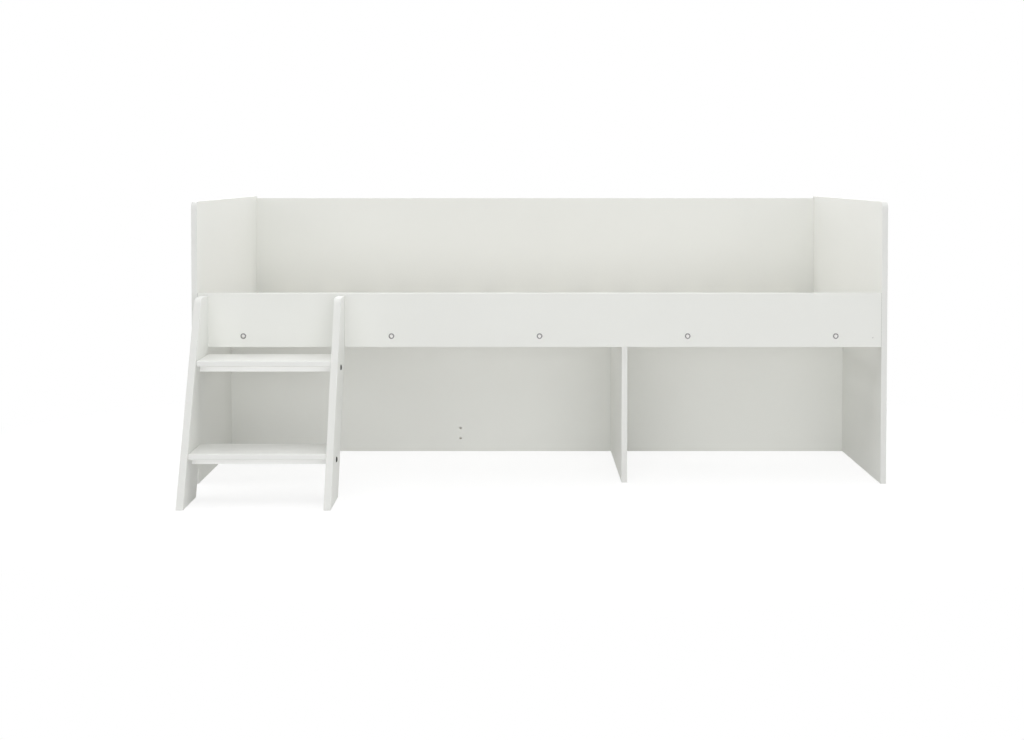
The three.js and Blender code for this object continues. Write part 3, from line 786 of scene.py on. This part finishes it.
# %% Build a coach bolt
def dome(radius, height, rim, steps=10):
    """The profile of a mushroom head, from its crown to the foot of its rim, at zero."""
    rise = height - rim
    ball = (radius ** 2 + rise ** 2) / (2 * rise)
    widest = math.asin(radius / ball)
    angles = [widest * i / steps for i in range(steps + 1)]
    crown = [(ball * math.sin(a), ball * (1 - math.cos(a)) - height) for a in angles]
    return crown + [(radius, 0)]


def threaded_rod(bm, start, turns, steps=24):
    """The skin of a helical thread, open at both ends, from a place along Y over a bolt's core."""
    profile = [(0.0, 0.0), (0.5, 1.0)]
    columns = []
    for i in range(turns * steps + 1):
        angle = 2 * math.pi * i / steps
        along = start + THREAD_PITCH * i / steps
        column = []
        for share, crest in profile:
            radius = BOLT_RADIUS - THREAD_DEPTH * (1 - crest)
            y = along + share * THREAD_PITCH
            column.append(bm.verts.new((radius * math.cos(angle), y, radius * math.sin(angle))))
        columns.append(column)
    for i in range(turns * steps):
        bm.faces.new([columns[i][0], columns[i + 1][0], columns[i + 1][1], columns[i][1]])
        if i + steps <= turns * steps:
            upper = columns[i + steps]
            upper_next = columns[min(i + steps + 1, turns * steps)]
            if upper is not upper_next:
                bm.faces.new([columns[i][1], columns[i + 1][1], upper_next[0], upper[0]])


def coach_bolt_mesh():
    bm = bmesh.new()
    smooth_end = BOLT_LENGTH - THREAD_TURNS * THREAD_PITCH
    thread_root = BOLT_RADIUS - THREAD_DEPTH
    spin(bm, dome(HEAD_RADIUS, HEAD_HEIGHT, RIM_HEIGHT) + [
        (BOLT_RADIUS, 0), (BOLT_RADIUS, smooth_end), (thread_root, smooth_end + THREAD_RUNOUT),
        (thread_root, BOLT_LENGTH), (0, BOLT_LENGTH),
    ])
    threaded_rod(bm, smooth_end, THREAD_TURNS - 1)
    bmesh.ops.create_cube(bm, size=1.0, matrix=Matrix.Translation((0, NECK_LENGTH / 2, 0))
                          @ Matrix.Diagonal((NECK_SIDE, NECK_LENGTH, NECK_SIDE, 1)))
    return finish_mesh("coach_bolt", bm, nickel_finish)


bolt_mesh = coach_bolt_mesh()
BACKWARD, FORWARD = (0, 1, 0), (0, -1, 0)
for names, toward, face in (
    (RAIL_BOLTS, BACKWARD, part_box(RAIL)[0].y),
    (BACK_BOLTS, FORWARD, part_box(BACK)[1].y),
):
    for name in names:
        centre = middle(name)
        seat = (centre.x, face, centre.z)
        piece = set_down(f"{name}_turned", bolt_mesh, seat, toward)
        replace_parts(piece, name)
print("coach bolts:", len(bolt_mesh.vertices), "corners in their shared mesh")

# %% [markdown]
# ## Washers and nuts
#
# A washer is a flat ring. A nut is a six-sided block with its corners turned off on both faces,
# which gives the round scallops that everybody knows without noticing. No boolean is needed: the
# outline is a hexagon as it is spun, and its height falls toward the corners.

# %% Build the washers and nuts
WASHER_RADIUS = 6.0 * MM
WASHER_THICKNESS = 1.6 * MM
WASHER_EASE = 0.15 * MM
NUT_ACROSS_FLATS = 10.0 * MM
NUT_HEIGHT = 5.0 * MM
NUT_CHAMFER = 0.8 * MM
NUT_FACE_SHARE = 0.97
BORE_CLEARANCE = 0.1 * MM
BORE = BOLT_RADIUS + BORE_CLEARANCE


def washer_mesh():
    bm = bmesh.new()
    spin(bm, [
        (BORE, 0), (WASHER_RADIUS, 0), (WASHER_RADIUS, WASHER_THICKNESS - WASHER_EASE),
        (WASHER_RADIUS - WASHER_EASE, WASHER_THICKNESS), (BORE, WASHER_THICKNESS),
    ], bored=True)
    return finish_mesh("washer", bm, zinc_finish)


def nut_mesh():
    bm = bmesh.new()
    apothem = NUT_ACROSS_FLATS / 2
    corner = hexagon(math.pi / 6, NUT_ACROSS_FLATS)
    face_edge = NUT_FACE_SHARE * apothem

    def outline(angle):
        return hexagon(angle, NUT_ACROSS_FLATS)

    def drop(angle):
        return NUT_CHAMFER * (outline(angle) - apothem) / (corner - apothem)

    def rise(angle):
        return NUT_HEIGHT - drop(angle)

    spin(bm, [
        (BORE, 0), (face_edge, 0), (outline, drop), (outline, rise), (face_edge, NUT_HEIGHT),
        (BORE, NUT_HEIGHT),
    ], bored=True)
    return finish_mesh("hexagon_nut", bm, zinc_finish)


washer_data = washer_mesh()
nut_data = nut_mesh()
for names, toward, ledger_face in (
    (RAIL_BOLTS, BACKWARD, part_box("front_slat_ledger")[1].y),
    (BACK_BOLTS, FORWARD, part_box("back_slat_ledger")[0].y),
):
    for name in names:
        centre = middle(name)
        seat = Vector((centre.x, ledger_face, centre.z))
        set_down(f"{name}_washer", washer_data, seat, toward)
        on_washer = seat + Vector(toward) * WASHER_THICKNESS
        set_down(f"{name}_nut", nut_data, on_washer, toward)
print("washers and nuts:", 2 * len(RAIL_BOLTS + BACK_BOLTS))

# %% [markdown]
# ## Socket bolts
#
# The ladder's bolts are turned from outside with a key. The socket is what shows: a dark six-sided
# pit in a low head. The solid already has one, in coarse flats, so a finer head takes its place.

# %% Build the socket bolts
SOCKET_HEAD_RADIUS = 7.5 * MM
SOCKET_HEAD_HEIGHT = 2.6 * MM
SOCKET_RIM = 1.2 * MM
SOCKET_CROWN = 4.5 * MM
SHOULDER_WIDTH, SHOULDER_HEIGHT = 0.5 * MM, 0.35 * MM
SOCKET_FLATS = 4.0 * MM
SOCKET_DEPTH = 2.0 * MM


def socket_bolt_mesh(name, length):
    """A low head with a hexagon pit, and a plain shank of a length."""
    bm = bmesh.new()
    pit_floor = SOCKET_DEPTH - SOCKET_HEAD_HEIGHT

    def pit(angle):
        return hexagon(angle, SOCKET_FLATS)

    spin(bm, [
        (0, pit_floor), (pit, pit_floor), (pit, -SOCKET_HEAD_HEIGHT),
        (SOCKET_CROWN, -SOCKET_HEAD_HEIGHT),
        (SOCKET_HEAD_RADIUS - SHOULDER_WIDTH, -SOCKET_RIM - SHOULDER_HEIGHT),
        (SOCKET_HEAD_RADIUS, -SOCKET_RIM), (SOCKET_HEAD_RADIUS, 0), (BOLT_RADIUS, 0),
        (BOLT_RADIUS, length), (0, length),
    ])
    return finish_mesh(name, bm, dark_finish)


def bolt_span(name, toward):
    """How far a bolt reaches from under its head, and where that is."""
    low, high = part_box(name)
    axis = max(range(3), key=lambda k: abs(toward[k]))
    total = high[axis] - low[axis]
    seat = (low + high) / 2
    seat[axis] = (low[axis] if toward[axis] > 0 else high[axis]) + toward[axis] * SOCKET_HEAD_HEIGHT
    return total - SOCKET_HEAD_HEIGHT, seat


socket_data = {}
for name in LADDER_BOLTS + FIXING_BOLTS:
    if name in FIXING_BOLTS:
        toward = FORWARD
    else:
        toward = (1, 0, 0) if "_left_" in name else (-1, 0, 0)
    length, seat = bolt_span(name, toward)
    key = round(length / MM)
    if key not in socket_data:
        socket_data[key] = socket_bolt_mesh(f"socket_bolt_{key}", length)
    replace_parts(set_down(f"{name}_turned", socket_data[key], seat, toward), name)
print("socket bolts:", len(LADDER_BOLTS + FIXING_BOLTS), "in lengths", sorted(socket_data))

# %% [markdown]
# ## Cover caps
#
# Connector heads on the outer faces of flat-pack boards are hidden under thin white caps. A cap is
# a shallow dome with a soft rim, a touch whiter and glossier than the board round it.

# %% Build the cover caps
CAP_RADIUS = 6.5 * MM
CAP_HEIGHT = 1.1 * MM
CAP_RIM = 0.4 * MM
CAP_WHITE = (0.905, 0.909, 0.888, 1)
CAP_SHADE = (0.894, 0.898, 0.877, 1)
cap_finish = board_material("cap_plastic", CAP_WHITE, CAP_SHADE, 0.36, 0.0)


def cap_mesh():
    bm = bmesh.new()
    spin(bm, dome(CAP_RADIUS, CAP_HEIGHT, CAP_RIM) + [(0, 0)])
    return finish_mesh("cover_cap", bm, cap_finish)


cap_data = cap_mesh()
for name in CONNECTORS:
    low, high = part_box(name)
    seat = (low + high) / 2
    if name.startswith("divider"):
        toward = FORWARD
        seat.y = high.y
    elif "_left_" in name:
        toward = (1, 0, 0)
        seat.x = low.x
    else:
        toward = (-1, 0, 0)
        seat.x = high.x
    set_down(f"{name}_cap", cap_data, seat, toward)
print("cover caps:", len(CONNECTORS))

# %% [markdown]
# ## Screws
#
# Each slat is held by two countersunk screws, and each tread by two more from below. Only the
# heads are ever seen: a flat disc with a cross recess. The holes are in the solids already.

# %% Build the screws
SCREW_HEAD_RADIUS = 4.1 * MM
SCREW_HEAD_DEPTH = 2.4 * MM
SCREW_SHANK_RADIUS = 2.0 * MM
SCREW_SHANK_LENGTH = 30 * MM
RECESS_REACH = 2.4 * MM
RECESS_HALF_WIDTH = 0.55 * MM
RECESS_DEPTH = 1.3 * MM
RECESS_TAPER = 0.45
RECESS_STEPS = 72
SLAT_SCREW_INSET = 8 * MM
TREAD_SCREW_INSET = 90 * MM


def cross_recess(angle):
    """How far the arms of a cross recess reach from its middle at an angle."""
    off_arm = (angle + math.pi / 4) % (math.pi / 2) - math.pi / 4
    arm_end = RECESS_REACH / math.cos(off_arm)
    arm_side = RECESS_HALF_WIDTH / max(abs(math.sin(off_arm)), 0.01)
    return min(arm_end, arm_side)


def screw_mesh():
    """A countersunk screw whose head is flush at zero, with a tapered cross recess."""
    bm = bmesh.new()
    spin(bm, [
        (0, RECESS_DEPTH), (lambda angle: RECESS_TAPER * cross_recess(angle), RECESS_DEPTH),
        (cross_recess, 0), (SCREW_HEAD_RADIUS, 0), (SCREW_SHANK_RADIUS, SCREW_HEAD_DEPTH),
        (SCREW_SHANK_RADIUS, SCREW_SHANK_LENGTH), (0, SCREW_SHANK_LENGTH + SCREW_SHANK_RADIUS),
    ], steps=RECESS_STEPS)
    return finish_mesh("countersunk_screw", bm, zinc_finish)


screw_data = screw_mesh()
slat_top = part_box(SLATS[0])[1].z
for name in SLATS:
    low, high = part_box(name)
    for end, y in (("front", low.y + SLAT_SCREW_INSET), ("back", high.y - SLAT_SCREW_INSET)):
        seat = ((low.x + high.x) / 2, y, slat_top)
        set_down(f"{name}_screw_{end}", screw_data, seat, (0, 0, -1))

for name in BEARERS:
    low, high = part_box(name)
    for side, x in (("left", low.x + TREAD_SCREW_INSET), ("right", high.x - TREAD_SCREW_INSET)):
        seat = (x, (low.y + high.y) / 2, low.z)
        set_down(f"{name}_screw_{side}", screw_data, seat, (0, 0, 1))
print("screws:", 2 * len(SLATS + BEARERS))

# %% [markdown]
# ## Floor and light
#
# The bed stands on a plain pale floor that the camera sees as white, with a faint shadow kept. The
# light is a soft studio: a dim even surround and seven broad panels, so that the open bays fall off
# gently and no face is burnt out. Mirrors don't show the panels in front, which would turn the
# bolts' polished crowns pure white.

# %% Floor
FLOOR_SIZE = 30.0
FLOOR_ALBEDO = (0.80, 0.80, 0.79, 1)
FLOOR_SHADOW_SHARE = 0.30
FLOOR_GLOW = 0.78
SHADOW_SPREAD = (1.45, 1.15, 1)
SHADOW_FADE = 0.85, 1.35


def seen_directly(tree):
    """One where a ray comes from the camera, a mirror or glass, and zero for other light."""
    path = tree.nodes.new("ShaderNodeLightPath").outputs
    seen = math_node(tree, "ADD", path["Is Camera Ray"], path["Is Glossy Ray"], clamp=True)
    return math_node(tree, "ADD", seen, path["Is Transmission Ray"], clamp=True)


def floor_material():
    """White where it is seen directly, less a shadow, pale to other light and clear from below."""
    material = bpy.data.materials.new("floor")
    material.use_nodes = True
    tree = material.node_tree
    tree.nodes.remove(tree.nodes["Principled BSDF"])
    output = tree.nodes["Material Output"]
    lit = add_node(tree, "ShaderNodeBsdfDiffuse")
    lit.inputs["Color"].default_value = (FLOOR_SHADOW_SHARE,) * 3 + (1,)
    glow = add_node(tree, "ShaderNodeEmission", Strength=FLOOR_GLOW)
    both = tree.nodes.new("ShaderNodeAddShader")
    tree.links.new(lit.outputs[0], both.inputs[0])
    tree.links.new(glow.outputs[0], both.inputs[1])
    bright = add_node(tree, "ShaderNodeEmission", Strength=1.0)
    shrunk = add_node(tree, "ShaderNodeVectorMath", {"operation": "DIVIDE"})
    shrunk.inputs[1].default_value = SHADOW_SPREAD
    tree.links.new(place(tree), shrunk.inputs[0])
    away = add_node(tree, "ShaderNodeVectorMath", {"operation": "LENGTH"})
    tree.links.new(shrunk.outputs[0], away.inputs[0])
    clean = tree.nodes.new("ShaderNodeMixShader")
    tree.links.new(ramp(tree, away.outputs["Value"], *SHADOW_FADE), clean.inputs[0])
    tree.links.new(both.outputs[0], clean.inputs[1])
    tree.links.new(bright.outputs[0], clean.inputs[2])
    pale = add_node(tree, "ShaderNodeBsdfDiffuse")
    pale.inputs["Color"].default_value = FLOOR_ALBEDO
    chosen = tree.nodes.new("ShaderNodeMixShader")
    tree.links.new(seen_directly(tree), chosen.inputs[0])
    tree.links.new(pale.outputs[0], chosen.inputs[1])
    tree.links.new(clean.outputs[0], chosen.inputs[2])
    below = tree.nodes.new("ShaderNodeMixShader")
    side = tree.nodes.new("ShaderNodeNewGeometry")
    tree.links.new(side.outputs["Backfacing"], below.inputs[0])
    tree.links.new(chosen.outputs[0], below.inputs[1])
    tree.links.new(tree.nodes.new("ShaderNodeBsdfTransparent").outputs[0], below.inputs[2])
    tree.links.new(below.outputs[0], output.inputs["Surface"])
    return material


floor_data = bpy.data.meshes.new("floor")
half_floor = FLOOR_SIZE / 2
floor_data.from_pydata(
    [(-half_floor, -half_floor, 0), (half_floor, -half_floor, 0),
     (half_floor, half_floor, 0), (-half_floor, half_floor, 0)], [], [(0, 1, 2, 3)],
)
floor_data.materials.append(floor_material())
floor = bpy.data.objects.new("floor", floor_data)
bpy.context.scene.collection.objects.link(floor)

# %% Surround
SURROUND_STRENGTH = 0.12


def light_surround():
    world = bpy.data.worlds.new("surround")
    bpy.context.scene.world = world
    world.use_nodes = True
    tree = world.node_tree
    soft = tree.nodes["Background"]
    soft.inputs["Color"].default_value = (1, 1, 1, 1)
    soft.inputs["Strength"].default_value = SURROUND_STRENGTH
    white = add_node(tree, "ShaderNodeBackground", Strength=1.0)
    white.inputs["Color"].default_value = (1, 1, 1, 1)
    chosen = tree.nodes.new("ShaderNodeMixShader")
    tree.links.new(seen_directly(tree), chosen.inputs[0])
    tree.links.new(soft.outputs[0], chosen.inputs[1])
    tree.links.new(white.outputs[0], chosen.inputs[2])
    tree.links.new(chosen.outputs[0], tree.nodes["World Output"].inputs["Surface"])


light_surround()

# %% Light panels
# Each panel has a place and a size in metres, and a power in watts.
PANELS = {
    "front_low": ((0.0, -4.6, 0.7), (4.5, 1.2), 38.5),
    "front_knee_high": ((0.0, -4.6, 0.45), (2.0, 0.8), 8.0),
    "front": ((0.0, -4.8, 1.8), (6.0, 3.2), 55.0),
    "above": ((0.0, 0.0, 3.6), (5.5, 4.5), 97.0),
    "left_high": ((-4.0, 0.2, 2.4), (3.5, 2.0), 57.0),
    "right_high": ((4.0, 0.2, 2.4), (3.5, 2.0), 52.0),
    "behind": ((0.0, 4.2, 2.4), (5.0, 2.5), 85.0),
}
AIM_POINT = Vector((0, 0.15, 0.45))
for name, (location, size, power) in PANELS.items():
    light_data = bpy.data.lights.new(f"panel_{name}", "AREA")
    light_data.shape = "RECTANGLE"
    light_data.size, light_data.size_y = size
    light_data.energy = power
    panel = bpy.data.objects.new(f"panel_{name}", light_data)
    panel.location = location
    panel.rotation_euler = (AIM_POINT - Vector(location)).to_track_quat("-Z", "Y").to_euler()
    panel.visible_camera = False
    panel.visible_glossy = not name.startswith("front")
    bpy.context.scene.collection.objects.link(panel)
print("light panels:", sorted(PANELS))
